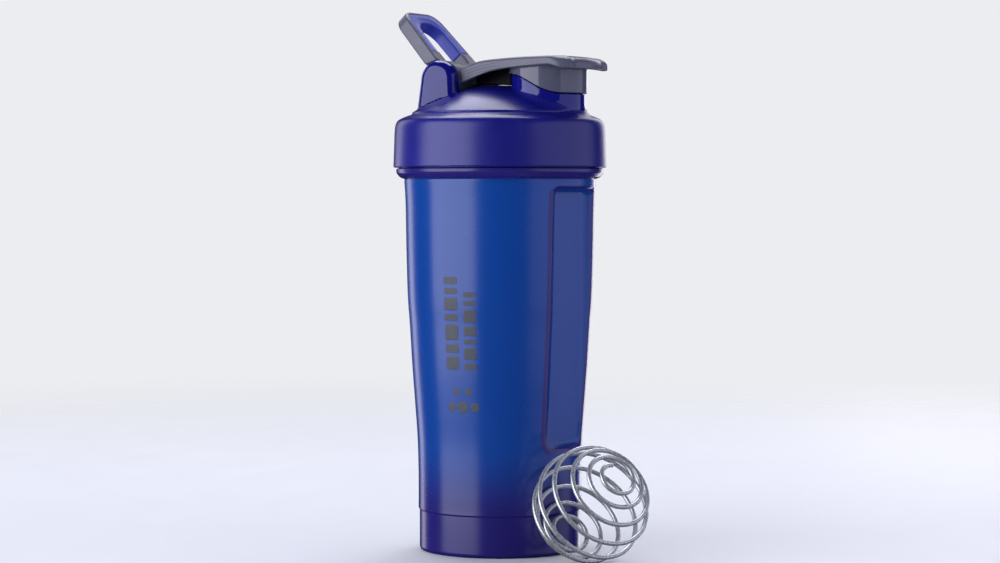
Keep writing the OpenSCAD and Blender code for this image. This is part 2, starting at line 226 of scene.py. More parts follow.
def field_mesh(field, low, high, step, pulls=3):
    """Vertices, quads and normals of the surface where the field is zero."""
    low = np.array(low, float)
    shape = np.ceil((np.array(high) - low) / step).astype(int) + 1
    values = sample(field, low, shape, step)
    shape = np.array(values.shape)
    inside = values < 0
    count = sum(inside[tuple(slice(c, n - 1 + c) for c, n in zip(corner, shape))].astype(np.int8)
                for corner in CELL_CORNERS)
    cells = np.argwhere((count > 0) & (count < 8))
    corner_values = np.stack([values[tuple((cells + c).T)] for c in CELL_CORNERS], 1)
    total, hits = np.zeros((len(cells), 3)), np.zeros(len(cells))
    for a, b in CELL_EDGES:
        va, vb = corner_values[:, a], corner_values[:, b]
        crossed = (va < 0) != (vb < 0)
        t = np.where(crossed, va / np.where(crossed, va - vb, 1), 0)[:, None]
        total += crossed[:, None] * (CELL_CORNERS[a] + t * (CELL_CORNERS[b] - CELL_CORNERS[a]))
        hits += crossed
    p = low + step * (cells + total / hits[:, None])
    index = np.full(shape - 1, -1, np.int32)
    index[tuple(cells.T)] = np.arange(len(cells))
    quads = []
    for k in range(3):
        a, b = (k + 1) % 3, (k + 2) % 3
        first = [slice(None)] * 3
        first[k] = slice(0, -1)
        second = [slice(None)] * 3
        second[k] = slice(1, None)
        edge = inside[tuple(first)] != inside[tuple(second)]
        at = np.argwhere(edge)
        at = at[(at[:, a] > 0) & (at[:, b] > 0)
                & (at[:, a] < shape[a] - 1) & (at[:, b] < shape[b] - 1)]
        out = inside[tuple(at.T)]
        ring = []
        for da, db in ((-1, -1), (0, -1), (0, 0), (-1, 0)):
            cell = at.copy()
            cell[:, a] += da
            cell[:, b] += db
            ring.append(index[tuple(cell.T)])
        quad = np.stack(ring, 1)
        quads.append(np.where(out[:, None], quad, quad[:, ::-1]))
    for _ in range(pulls):
        d, g = field(*p.T), slope(field, p)
        move = (d / np.maximum((g * g).sum(1), 0.25))[:, None] * g
        p -= np.clip(move, -step / 2, step / 2)
    g = slope(field, p)
    normals = g / np.maximum(np.linalg.norm(g, axis=1), 1e-6)[:, None]
    return p, np.vstack(quads), normals


# ---------------------------------------------------------------- mesh objects

def make_piece(name, points, faces, normals=None):
    """A smooth mesh object from points in millimetres and faces that all have as many corners."""
    mesh = bpy.data.meshes.new(name)
    faces = np.asarray(faces, np.int32)
    sides = faces.shape[1]
    mesh.vertices.add(len(points))
    mesh.vertices.foreach_set("co", (np.asarray(points) * MM).astype(np.float32).ravel())
    mesh.loops.add(faces.size)
    mesh.loops.foreach_set("vertex_index", faces.ravel())
    mesh.polygons.add(len(faces))
    mesh.polygons.foreach_set("loop_start", np.arange(0, faces.size, sides, dtype=np.int32))
    mesh.polygons.foreach_set("use_smooth", np.ones(len(faces), bool))
    mesh.update(calc_edges=True)
    mesh.validate()
    if normals is not None:
        mesh.normals_split_custom_set_from_vertices(normals.tolist())
    piece = bpy.data.objects.new(name, mesh)
    bpy.context.scene.collection.objects.link(piece)
    return piece


def make_mixed_piece(name, points, faces):
    """A smooth mesh object whose faces have different numbers of corners."""
    mesh = bpy.data.meshes.new(name)
    mesh.from_pydata((points * MM).tolist(), [], faces)
    mesh.polygons.foreach_set("use_smooth", np.ones(len(mesh.polygons), bool))
    mesh.update()
    piece = bpy.data.objects.new(name, mesh)
    bpy.context.scene.collection.objects.link(piece)
    return piece


def paint(piece, name, values):
    """Keeps one number per vertex, which a material reads."""
    layer = piece.data.attributes.new(name, "FLOAT", "POINT")
    layer.data.foreach_set("value", np.asarray(values, np.float32))


def vertices_mm(piece):
    """Rows x, y and z of a piece's vertices, in millimetres."""
    co = np.empty(len(piece.data.vertices) * 3, np.float32)
    piece.data.vertices.foreach_get("co", co)
    return co.reshape(-1, 3).astype(float).T / MM


def field_piece(name, field, low, high, step):
    """The surface of a distance field inside the box from low to high, as a mesh object."""
    points, quads, normals = field_mesh(field, low, high, step)
    return make_piece(name, points, quads, normals)


def finish_piece(piece, body, material, slot, *nodes):
    """Gives a piece its material, its body and the CAD nodes that it stands for."""
    piece.data.materials.append(material)
    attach(piece, body)
    if nodes:
        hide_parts(*nodes)
    return piece


# ---------------------------------------------------------------- bottle

WALL = 1.8
WALL_LINE = [(36.7, 32.8), (37.1, 49), (38.1, 64), (39.4, 81.4), (40.7, 103),
             (41.4, 112), (42.1, 135.5), (42.5, 157), (43.0, 165.4)]
FOOT_R, FOOT_ROUND = 36.2, 1.6
NECK_R, NECK_WALL = 43.8, 1.9
FLANGE_R, FLANGE_Z = 46.6, 171.15
GAP_RING_R, GAP_RING_Z = 45.5, 172.1
THREAD_MID = 178.6
THREAD_STARTS = 3
THREAD_DEPTH = 1.5
PANEL_TURN = math.radians(-4)
PANEL_TOP = 161.5
PANEL_LOW = 48.0
PANEL_HALF = (14.3, 12.5)
PANEL_FLOOR = [(40, 33.6), (108, 36.0), (170, 36.7)]
PANEL_DRAFT = 1.19
PANEL_RIM = 2.7
FLOOR_Z = 18.5
BOWL_A, BOWL_H = 36.7, 17.8


def thread_field(r, angle, z, wall_r, side, mid, sweep=270.0):
    """Helical ridges on a round wall: side 1 stands outwards, side -1 inwards."""
    best = np.full(np.shape(r), 1e3)
    for start in range(THREAD_STARTS):
        turn = (angle - start * 2 * math.pi / THREAD_STARTS + math.pi) % (2 * math.pi) - math.pi
        for lap in (-1, 0, 1):
            along = turn + lap * 2 * math.pi
            dz = z - mid - THREAD_LEAD * along / (2 * math.pi)
            ends = np.clip((math.radians(sweep) / 2 - np.abs(along)) / 0.5, -1, 1)
            tall = THREAD_DEPTH * ends
            out = side * (r - wall_r)
            flank = np.abs(dz) + 0.35 * out - 1.15
            best = np.minimum(best, common(flank, out - tall, 0.35))
    return common(best, -0.8 - side * (r - wall_r), 0.05)


def neck_thread(x, y, z):
    ridge = thread_field(np.hypot(x, y), np.arctan2(y, x), z, NECK_R, 1, THREAD_MID)
    return common(ridge, z - (RIM_Z - 2.2), 0.3)


def body_outline():
    """Right half of the bottle as a solid, (radius, height): foot, wall, flange and neck."""
    wall = smooth_line([(36.7, 20.5)] + WALL_LINE, 6)
    foot = rounded([(0, 0, 0), (FOOT_R, 0, FOOT_ROUND), (FOOT_R, 18.2, 0.1), (36.75, 18.6, 0.25),
                    (36.7, 20.4, 0)])[1:-1]
    flange = rounded([(43.05, 166.5, 0.5), (45.0, 167.2, 2.0), (FLANGE_R, 169.2, 1.6),
                      (FLANGE_R, FLANGE_Z, 0.6), (GAP_RING_R, FLANGE_Z, 0.1),
                      (GAP_RING_R, GAP_RING_Z, 0.2), (NECK_R, GAP_RING_Z, 0.2), (NECK_R, RIM_Z, 0.7),
                      (0, RIM_Z, 0)], 6)
    return np.vstack([[(0, 0)], foot, wall, flange])


def wall_radius(z):
    """Outer radius of the bottle's wall above its foot, without the grip panels."""
    line = smooth_line([(36.7, 18.8)] + WALL_LINE, 12)
    return np.interp(z, line[:, 1], line[:, 0])


def panel_place(x, y, z):
    """Distance out from a grip panel's floor, and sideways from its middle less the draft of its sides."""
    out = np.abs(x * math.cos(PANEL_TURN) + y * math.sin(PANEL_TURN))
    across = np.abs(y * math.cos(PANEL_TURN) - x * math.sin(PANEL_TURN))
    out = out - np.interp(z, *np.array(PANEL_FLOOR).T)
    return out, across - PANEL_DRAFT * out


PANEL_SHAPE = Flat(rounded([(PANEL_HALF[1], PANEL_TOP, 3), (-PANEL_HALF[1], PANEL_TOP, 3),
                            (-PANEL_HALF[0], PANEL_LOW, 5), (PANEL_HALF[0], PANEL_LOW, 5)]))


def panel_rim(x, y, z):
    """Distance along the wall from the edge of the nearest grip panel, below zero inside it."""
    _, side = panel_place(x, y, z)
    d = PANEL_SHAPE(side, z)
    beside = smooth_step((side - 9) / 4) * smooth_step((PANEL_TOP + 1 - z) / 2)
    return d * (1 - 0.35 * beside) + 0.7 * (1 - beside)


def bottle_field():
    """The bottle as a solid block with its grip panels and its thread."""
    body = Flat(body_outline())

    def field(x, y, z):
        r = np.hypot(x, y)
        out, side = panel_place(x, y, z)
        sunk = common(PANEL_SHAPE(side, z) * 0.75, -out, 1.0)
        bevel = 0.3 * np.clip(1 - panel_rim(x, y, z) / PANEL_RIM, 0, 1)
        shape = cut(body(r, z) + bevel, sunk, 1.3)
        return join(shape, neck_thread(x, y, z), 0.3)
    return field


def radial_root(field, angle, z, level, near, far):
    """Radius between near, inside the solid, and far, outside it, where the field has that level."""
    low, high = np.full(np.shape(z), float(near)), np.full(np.shape(z), float(far))
    for _ in range(26):
        mid = (low + high) / 2
        outside = field(mid * np.cos(angle), mid * np.sin(angle), z) > level
        high = np.where(outside, mid, high)
        low = np.where(outside, low, mid)
    return (low + high) / 2


def spaced(*stops):
    """Values from the first stop to the last: (start, gap), (start, gap), ..., end."""
    out = []
    for (start, gap), after in zip(stops, stops[1:]):
        end = after[0] if isinstance(after, tuple) else after
        count = max(1, round((end - start) / gap))
        out.extend(start + (end - start) * np.arange(count) / count)
    return np.array(out + [stops[-1]])


def bottle_mesh():
    """Rings of points from the foot's middle up the outside, over the rim and down the inside."""
    half = spaced((0, 2.4), (14, 0.5), (31, 2.4), (90, 2.4), (149, 0.5), (166, 2.4), 180)
    angles = np.radians(np.concatenate([half, 360 - half[-2:0:-1]])) + PANEL_TURN
    field = bottle_field()
    outer_z = spaced((1.9, 2.7), (18.0, 0.12), (19.0, 0.8), (21, 2.6), (45, 1.3), (60, 2.6),
                     (152, 0.5), (163.6, 0.25), (170.4, 0.15), (172.5, 0.4), RIM_Z - 0.8)
    inner_z = spaced((FLOOR_Z, 2.6), (45, 1.4), (60, 2.6), (152, 0.6), (166, 1.0), 171)[::-1]
    curve = np.linspace(0, math.pi / 2, 15)
    under = [(0, 0)] + [(r, 0) for r in (3, 6, 9, 9.7)] + [(10, 0.25)]
    under += [(BOWL_A * math.sin(t), FLOOR_Z - BOWL_H * math.cos(t)) for t in curve
              if 10.2 < BOWL_A * math.sin(t) < 33.9]
    under += [(34.4, 13.0), (34.6, 12.4), (34.6, 8), (34.6, 3), (34.6, 0.6), (34.75, 0.25), (35.0, 0.06)]
    foot_edge = arc_corner(np.array([34.0, 0.0]), np.array([FOOT_R, 0.0]), np.array([FOOT_R, 9.0]),
                           FOOT_ROUND, 7)
    inner_r = NECK_R - NECK_WALL
    rim = rounded([(NECK_R, 180, 0), (NECK_R, RIM_Z, 0.75), (inner_r, RIM_Z, 0.75), (inner_r, 180, 0)], 6)
    bowl = [((BOWL_A - WALL) * math.sin(t), FLOOR_Z - (BOWL_H - WALL) * math.cos(t))
            for t in curve[::-1]][1:]
    rows = []
    rows += [(np.full(angles.shape, r), z) for r, z in under[1:]]
    rows += [(np.full(angles.shape, r), z) for r, z in foot_edge]
    for z in outer_z:
        near = NECK_R - 2 if z > FLANGE_Z + 1.5 else 30
        rows.append((radial_root(field, angles, np.full(angles.shape, z), 0, near, 50), z))
    rows += [(np.full(angles.shape, r), z) for r, z in rim[1:-1]]
    rows.append((np.full(angles.shape, inner_r), 172.5))
    for z in inner_z:
        rows.append((radial_root(field, angles, np.full(angles.shape, z), -WALL, 30, 44), z))
    rows += [(np.full(angles.shape, r), z) for r, z in bowl[:-1]]
    n = len(angles)
    points = [(0, 0, 0)]
    for r, z in rows:
        points.extend(np.stack([r * np.cos(angles), r * np.sin(angles), np.full(n, z)], 1))
    points.append((0, 0, FLOOR_Z - BOWL_H + WALL))
    points = np.array(points)
    k = np.arange(n)
    ahead = (k + 1) % n
    firsts = 1 + n * np.arange(len(rows))
    faces = [np.stack([a + k, a + ahead, b + ahead, b + k], 1) for a, b in zip(firsts, firsts[1:])]
    last = firsts[-1]
    fans = [(0, 1 + b, 1 + a) for a, b in zip(k, ahead)]
    fans += [(len(points) - 1, last + a, last + b) for a, b in zip(k, ahead)]
    return points, np.vstack(faces), np.array(fans)


def make_bottle(material):
    points, quads, fans = bottle_mesh()
    piece = make_mixed_piece("bottle_shell", points, quads.tolist() + fans.tolist())
    rim = panel_rim(*points.T)
    r, z = np.hypot(points[:, 0], points[:, 1]), points[:, 2]
    on_wall = (r > wall_radius(z) - 0.9) & (z < 165)
    # painted shade: the edge band marks the panel rims, which the bottle material paints dark indigo
    paint(piece, "edge", on_wall * (rim > -0.6) * (1 - smooth_step((rim - PANEL_RIM + 0.3) / 0.4)))
    return finish_piece(piece, "bottle", material, "bottle_plastic", "bottle")


# ---------------------------------------------------------------- lid

LID_WALL = 2.0
DOME_R, DOME_Z, DOME_H, DOME_POWER = 39.4, 196.2, 12.2, 2.1
PLATE_Z = 188.6
COLLAR_IN = 46.0
TOWER_IN, TOWER_OUT, TOWER_R = 16.4, 22.5, 9.1
TOWER_FRONT, TOWER_BACK = -10.4, -33.0
POCKET_R = 9.5
SPOUT_R, TUBE_R, BORE_R = 16.4, 15.2, 13.6
SPOUT_RIM = 215.5
LEDGE_GAP = 0.45


def revolve(right):
    """Lookup in (radius, height) for a solid of revolution, from its outline right of the axis."""
    right = np.array(right, float)
    return Flat(np.vstack([right, right[::-1] * (-1, 1)]))


def dome_line(edge_r, edge_z, steps=40):
    """The dome's section from its edge up to its top."""
    t = np.linspace(1, 0, steps)[:-1]
    return np.stack([edge_r * t, edge_z + DOME_H * (1 - t ** DOME_POWER)], 1)


def spout_line(x):
    """Height of the curve along which the cap's skirt meets the spout."""
    return 213 - 8.8 * smooth_step((x - 13) / 25)


def hinge_radius(x, z):
    """Distance from the hinge's axis."""
    return np.hypot(x - HINGE_X, z - HINGE_Z)


def lid_field():
    """The lid: collar, dome, hinge towers and spout in one, hollowed, bored and threaded."""
    side = rounded([(0, COLLAR_Z, 0), (47.9, COLLAR_Z, 0.5), (47.5, 183, 0), (40, 183, 0)])[1:-1]
    shoulder = smooth_line([(47.5, 183), (47.35, 187), (47.0, 190.3), (46.1, 192.3), (44.2, 193.6),
                            (42.0, 194.5), (40.5, 195.05)], 6)[1:]
    groove = [(39.9, 195.0), (39.6, 195.35), (39.45, 195.9)]
    outer = revolve(np.vstack([[(0, COLLAR_Z)], side, shoulder, groove, dome_line(DOME_R, DOME_Z)]))
    inner = revolve(np.vstack([[(0, 165), (COLLAR_IN, 165), (COLLAR_IN, 187), (44.9, PLATE_Z),
                                (41.2, PLATE_Z), (41.2, 183.5), (39.2, 183.5)],
                               dome_line(DOME_R - 0.6 * LID_WALL, DOME_Z - LID_WALL)]))
    arch = [(HINGE_X + TOWER_R * math.cos(t), HINGE_Z + TOWER_R * math.sin(t))
            for t in np.linspace(0, math.pi, 33)]
    tower = Flat([(TOWER_FRONT, 190)] + arch + [(TOWER_BACK, 190)])

    def field(x, y, z):
        r = np.hypot(x, y)
        a = np.abs(y)
        hinge = hinge_radius(x, z)
        bulge = 0.9 * ((x - HINGE_X) / 10.5) ** 2 + 0.4 * np.clip((z - 206) / 12, 0, 1.2) ** 2
        towers = common(common(tower(x, z), a - TOWER_OUT + bulge, 3.7), TOWER_IN - a, 0.5)
        spout = np.hypot(x - SPOUT_X, y)
        base = common(spout - SPOUT_R, z - spout_line(x) + LEDGE_GAP, 0.35)
        tube = common(spout - TUBE_R, z - SPOUT_RIM, 0.5)
        solid = join(outer(r, z), towers, 0.25)
        flare = 0.35 + 3.2 * smooth_step((x - 8) / 22)
        solid = join(solid, join(base, tube, 0.15), flare)
        hollow = cut(inner(r, z), common(hinge - POCKET_R - 1.8, a - TOWER_IN - 1.8, 0.4), 0.5)
        solid = cut(solid, hollow, 0.3)
        solid = cut(solid, common(hinge - POCKET_R, a - TOWER_IN, 0.3), 0.4)
        solid = cut(solid, common(spout - BORE_R, 180 - z, 0.1), 0.6)
        solid = cut(solid, common(hinge - PIN_R, a - PIN_HIGH[1], 0.1), 0.2)
        ridge = thread_field(r, np.arctan2(y, x), z, COLLAR_IN, -1, THREAD_MID - THREAD_LEAD / 6, 170)
        return join(solid, common(ridge, 172.4 - z, 0.3), 0.3)
    return field


# ---------------------------------------------------------------- flip cap

CAP_WALL, CAP_PLATE = 2.0, 2.4
LIP_R = 47.0
SKIRT_R, SKIRT_IN = 17.4, 15.9
KNUCKLE_R, KNUCKLE_HALF, WEB_HALF = 8.8, 9.6, 4.0
WEB_LOW, WEB_HIGH, WEB_END = -1.65, 4.3, 28.4
HUB_R, HUB_IN = 9.1, 9.9
BOSS_R, BOSS_WALL = 11.0, 2.0
CAP_INNER_Z = 218.2


def cap_field():
    """The cap: a hollow shell with the skirt, the seal's boss, the web and the hinge knuckle."""
    angles = np.linspace(-26.6, 26.6, 41)
    arc = [(LIP_R * math.cos(math.radians(t)), LIP_R * math.sin(math.radians(t))) for t in angles]
    sides = rounded([(60, 0, 0), (*arc[-1], 11), (-8, 15.4, 0), (-14, 15.4, 0), (-14, -15.4, 0),
                     (-8, -15.4, 0), (*arc[0], 11)])
    front = [i for i, p in enumerate(sides) if p[0] == 60][0]
    plan = Flat(np.vstack([arc[9:-9], np.roll(sides, -front, 0)[1:]]))
    top = smooth_line([(-15.5, 213.7), (-12.2, 215.4), (-8, 217.1), (-1.7, 218.8), (10, 219.7),
                       (22, 220.05), (32, 220.1), (60, 220.1)])
    roof = Flat(np.vstack([top, [(60, 190), (-15.5, 190)]]))
    low = smooth_line([(-15.5, 208.0), (-12.2, 208.9), (-6, 211.0), (3, 213.7), (12, 215.0),
                       (20, 215.6), (33, 216.2), (60, 216.4)])
    sill = Flat(np.vstack([low, [(60, 232), (-15.5, 232)]]))

    def field(x, y, z):
        a = np.abs(y)
        hinge = hinge_radius(x, z)
        spout = np.hypot(x - SPOUT_X, y)
        shell = plan(x, y)
        front = smooth_step((x - 35) / 8)
        droop = 2.6 * np.clip((5.5 + shell) / 5.5, 0, 1) ** 2.4
        under = roof(x, z + front * droop)
        block = common(common(shell, under, 1.7 - 0.5 * front), -z + 195, 0.1)
        block = common(block, sill(x, z + 1.8 * front), 0.5)
        hollow = common(shell + CAP_WALL, under + CAP_PLATE, 0.9)
        solid = cut(block, hollow, 0.3)
        solid = cut(solid, common(hinge - HUB_R - 0.3, KNUCKLE_HALF - a, 0.1), 0.25)
        ring = common(cut(spout - SKIRT_R, spout - SKIRT_IN, 0.3), spout_line(x) - z, 0.25)
        solid = join(solid, common(ring, z - CAP_INNER_Z, 0.1), 0.9)
        boss = common(cut(spout - BOSS_R, spout - BOSS_R + BOSS_WALL, 0.3), SEAL_LOW[2] - z, 0.3)
        solid = join(solid, common(boss, z - CAP_INNER_Z, 0.1), 0.5)
        dx, dz = x - HINGE_X, z - HINGE_Z
        web_low = WEB_LOW - 0.08 * np.clip(dx - 20.6, 0, 8)
        web_high = WEB_HIGH + 0.3 * np.clip(dx - 8, 0, 9)
        side_view = common(np.maximum(-dx, dx - WEB_END), np.maximum(web_low - dz, dz - web_high), 0.3)
        web = common(side_view, a - WEB_HALF, 0.3)
        knuckle = common(hinge - KNUCKLE_R, a - KNUCKLE_HALF, 0.6)
        solid = join(solid, join(knuckle, web, 0.8), 0.6)
        return cut(solid, common(hinge - PIN_R - 0.05, a - 30, 0.1), 0.3)
    return field


# ---------------------------------------------------------------- carry loop and its grip

LEAN = math.radians(42.5)
LOOP_LENGTH, LOOP_T, LOOP_SHIFT = 38.9, 6.5, 1.95
SHOULDER_HALF, TIP_HALF, TIP_R = 17.2, 14.4, 8.0
HOLE_LOW_HALF, HOLE_TOP_HALF, HOLE_TOP, HOLE_R = 9.5, 8.9, 32.3, 7
GRIP_START, GRIP_DEPTH, GRIP_LINER, RIM_W = 13.6, 4.5, 1.2, 1.5
LOOP_HALF = 16.0
SEAM = 0.06


def loop_axes(x, z):
    """Height above the hinge along the loop, and distance in front of its middle plane."""
    dx, dz = x - HINGE_X, z - HINGE_Z
    return (-math.sin(LEAN) * dx + math.cos(LEAN) * dz,
            math.cos(LEAN) * dx + math.sin(LEAN) * dz - LOOP_SHIFT)


def both_sides(points):
    """The points and their mirror images, as one outline."""
    return points + [(-x, y, r) for x, y, r in points[::-1]]


def hole_shape(grow):
    """Outline of the finger hole, or of the grip's lining round it when grown."""
    low = -5 if grow == 0 else GRIP_START
    return rounded(both_sides([(HOLE_LOW_HALF + grow, low, 0), (HOLE_LOW_HALF + grow, GRIP_START, 0),
                               (HOLE_TOP_HALF + grow, HOLE_TOP + grow, HOLE_R + grow)]), 14)


def loop_fields():
    """The grey frame and the blue grip, each as a field of its own."""
    whole = Flat(rounded(both_sides([(SHOULDER_HALF + 1.3, 0, 0),
                                     (TIP_HALF, LOOP_LENGTH, TIP_R)]), 14))
    inset = Flat(rounded(both_sides([(SHOULDER_HALF - RIM_W - 0.1, GRIP_START, 0),
                                     (TIP_HALF - RIM_W, LOOP_LENGTH - RIM_W, TIP_R - RIM_W)]), 14))
    hole, liner = Flat(hole_shape(0)), Flat(hole_shape(GRIP_LINER))
    half = LOOP_T / 2

    def grip_room(y, u, n, grow):
        """The space that the soft grip fills in the frame, grown on all sides."""
        above = GRIP_START - u - grow
        front = common(common(inset(y, u) - grow, half - GRIP_DEPTH - n - grow, 0.3), above, 0.2)
        around = common(liner(y, u) - grow, above, 0.2)
        return np.minimum(front, around)

    def frame_part(x, y, z):
        u, n = loop_axes(x, z)
        a = np.abs(y)
        hinge = hinge_radius(x, z)
        leg = common(whole(y, u), np.abs(n) - half, 1.0)
        over_tower = (u - 10.5 + 0.471 * (n + LOOP_SHIFT)) / 1.105
        leg = cut(leg, common(over_tower, LOOP_HALF - a, 0.2), 0.5)
        solid = cut(cut(leg, hole(y, u), 0.8), grip_room(y, u, n, SEAM), 0.25)
        hub = common(hinge - HUB_R, a - LOOP_HALF, 0.5)
        solid = join(solid, hub, 0.4)
        solid = cut(solid, common(hinge - KNUCKLE_R - 0.35, a - HUB_IN, 0.2), 0.3)
        return cut(solid, common(hinge - PIN_R - 0.05, a - 30, 0.1), 0.3)

    def grip_part(x, y, z):
        u, n = loop_axes(x, z)
        crown = 0.35 * smooth_step((hole(y, u) - 0.6) / 3.0)
        slab = common(np.abs(n) - half + 0.35 - crown, grip_room(y, u, n, 0), 0.35)
        return cut(slab, hole(y, u), 0.8)
    return frame_part, grip_part


# ---------------------------------------------------------------- whisk ball

BALL_TURNS, BALL_POLE, BALL_EASE, BALL_PHASE = 8.4, 13.0, 0.35, 180.0
BALL_TILT, BALL_SPIN = math.radians(54.1), math.radians(-29.2)
BALL_R, WIRE_R = 25.6, 1.0


def ball_axes():
    """Directions of the ball's own x, y and pole in the frame."""
    a, b = BALL_TILT, BALL_SPIN
    x = np.array([math.cos(a) * math.cos(b), math.cos(a) * math.sin(b), -math.sin(a)])
    y = np.array([-math.sin(b), math.cos(b), 0])
    z = np.array([math.sin(a) * math.cos(b), math.sin(a) * math.sin(b), math.cos(a)])
    return np.stack([x, y, z])


def ball_mesh(around=14, per_turn=90):
    """One wire wound from pole to pole, with round ends."""
    count = round(BALL_TURNS * per_turn)
    s = np.linspace(0, 1, count + 1)
    eased = s - BALL_EASE * np.sin(2 * math.pi * s) / (2 * math.pi)
    polar = np.radians(BALL_POLE + (180 - 2 * BALL_POLE) * eased)
    turn = np.radians(BALL_PHASE + 360 * BALL_TURNS * s)
    out = np.stack([np.sin(polar) * np.cos(turn), np.sin(polar) * np.sin(turn), np.cos(polar)], 1)
    ahead = np.gradient(out, axis=0)
    ahead /= np.linalg.norm(ahead, axis=1)[:, None]
    across = np.cross(out, ahead)
    centre = (BALL_R - WIRE_R) * out
    cap = np.radians([75, 52, 30, 12])
    lead = WIRE_R * np.sin(cap)[:, None]
    centre = np.vstack([centre[0] - lead * ahead[0], centre, (centre[-1] + lead * ahead[-1])[::-1]])
    out = np.vstack([np.tile(out[0], (4, 1)), out, np.tile(out[-1], (4, 1))])
    across = np.vstack([np.tile(across[0], (4, 1)), across, np.tile(across[-1], (4, 1))])
    thick = WIRE_R * np.concatenate([np.cos(cap), np.ones(count + 1), np.cos(cap)[::-1]])
    angle = 2 * math.pi * np.arange(around) / around
    rings = centre[:, None] + thick[:, None, None] * (np.cos(angle)[None, :, None] * out[:, None]
                                                      + np.sin(angle)[None, :, None] * across[:, None])
    points = rings.reshape(-1, 3) @ ball_axes()
    points += (BALL_LOW + BALL_HIGH) / 2
    n = len(centre)
    i, j = np.meshgrid(np.arange(n - 1), np.arange(around), indexing="ij")
    i, j = i.ravel(), j.ravel()
    this, following, next_j = i * around, (i + 1) * around, (j + 1) % around
    quads = np.stack([this + j, this + next_j, following + next_j, following + j], 1)
    return points, quads, [list(range(around))[::-1], [(n - 1) * around + k for k in range(around)]]


def make_ball(material):
    points, quads, ends = ball_mesh()
    piece = make_mixed_piece("whisk_wire", points, quads.tolist() + ends)
    return finish_piece(piece, "whisk_ball", material, "wire_steel", "whisk_ball")


# ---------------------------------------------------------------- printed mark

MARK_AZIMUTH = -84.4
MARK_EDGE_LIFT, MARK_FILM = 0.01, 0.06
MARK_R = 39.6
THICK_BARS = [(83.0, 88.6), (90.2, 94.2), (95.8, 102.8), (104.4, 107.4), (109.0, 114.6),
              (116.2, 118.8), (120.4, 123.6)]
THIN_BARS = [(83.0, 85.8), (87.4, 92.6), (94.2, 96.2), (97.8, 102.0), (103.6, 109.4),
             (111.0, 113.2), (114.8, 117.0)]
DOTS = [(-6.0, 66.5, 2.1), (-0.6, 66.5, 2.7), (5.4, 66.5, 2.1), (-3.4, 73.2, 1.7), (2.6, 73.2, 1.7)]


def mark_patch(outline, rows=10):
    """A thin film on the wall: rings of the outline drawn in towards its middle."""
    outline = np.array(outline)
    middle = outline.mean(0)
    n = len(outline)
    points, quads = [], []
    shares = [1.0] + list(np.linspace(0.94, 0, rows))
    for k, share in enumerate(shares):
        flat = middle + (outline - middle) * max(share, 0.001)
        lift = MARK_EDGE_LIFT if k == 0 else MARK_FILM
        r = wall_radius(flat[:, 1]) + lift
        angle = math.radians(MARK_AZIMUTH) + flat[:, 0] / MARK_R
        points.append(np.stack([r * np.cos(angle), r * np.sin(angle), flat[:, 1]], 1))
    for first in n * np.arange(len(shares) - 1):
        for j in range(n):
            ahead = (j + 1) % n
            quads.append((first + j, first + ahead, first + n + ahead, first + n + j))
    return np.vstack(points), np.array(quads)


def dense(outline, gap=0.6):
    """The outline with points added so that none is more than about gap from the next."""
    out = []
    for a, b in zip(outline, np.roll(outline, -1, 0)):
        steps = max(1, int(np.linalg.norm(b - a) / gap))
        out.extend(a + (b - a) * k / steps for k in range(steps))
    return np.array(out)


def make_mark(material):
    """Two rows of bars and a group of dots, printed on the wall."""
    shapes = []
    for bars, left, right in ((THICK_BARS, -8.1, -1.6), (THIN_BARS, 0.9, 6.6)):
        for low, high in bars:
            round_r = min(1.0, (high - low) / 2 - 0.05)
            shapes.append(dense(rounded([(left, low, round_r), (right, low, round_r),
                                         (right, high, round_r), (left, high, round_r)], 6)))
    for x, z, r in DOTS:
        t = np.linspace(0, 2 * math.pi, 40, endpoint=False)
        shapes.append(np.stack([x + r * np.cos(t), z + r * np.sin(t)], 1))
    points, quads, count = [], [], 0
    for shape in shapes:
        p, q = mark_patch(shape)
        points.append(p)
        quads.append(q + count)
        count += len(p)
    piece = make_piece("printed_bars", np.vstack(points), np.vstack(quads))
    return finish_piece(piece, "bottle", material, "print_ink", "printed_mark")


# ---------------------------------------------------------------- materials

def rgb(r, g, b):
    """Shader colour from screen values 0 to 255."""
    shares = [c / 255 for c in (r, g, b)]
    return tuple(c / 12.92 if c <= 0.04045 else ((c + 0.055) / 1.055) ** 2.4 for c in shares) + (1.0,)


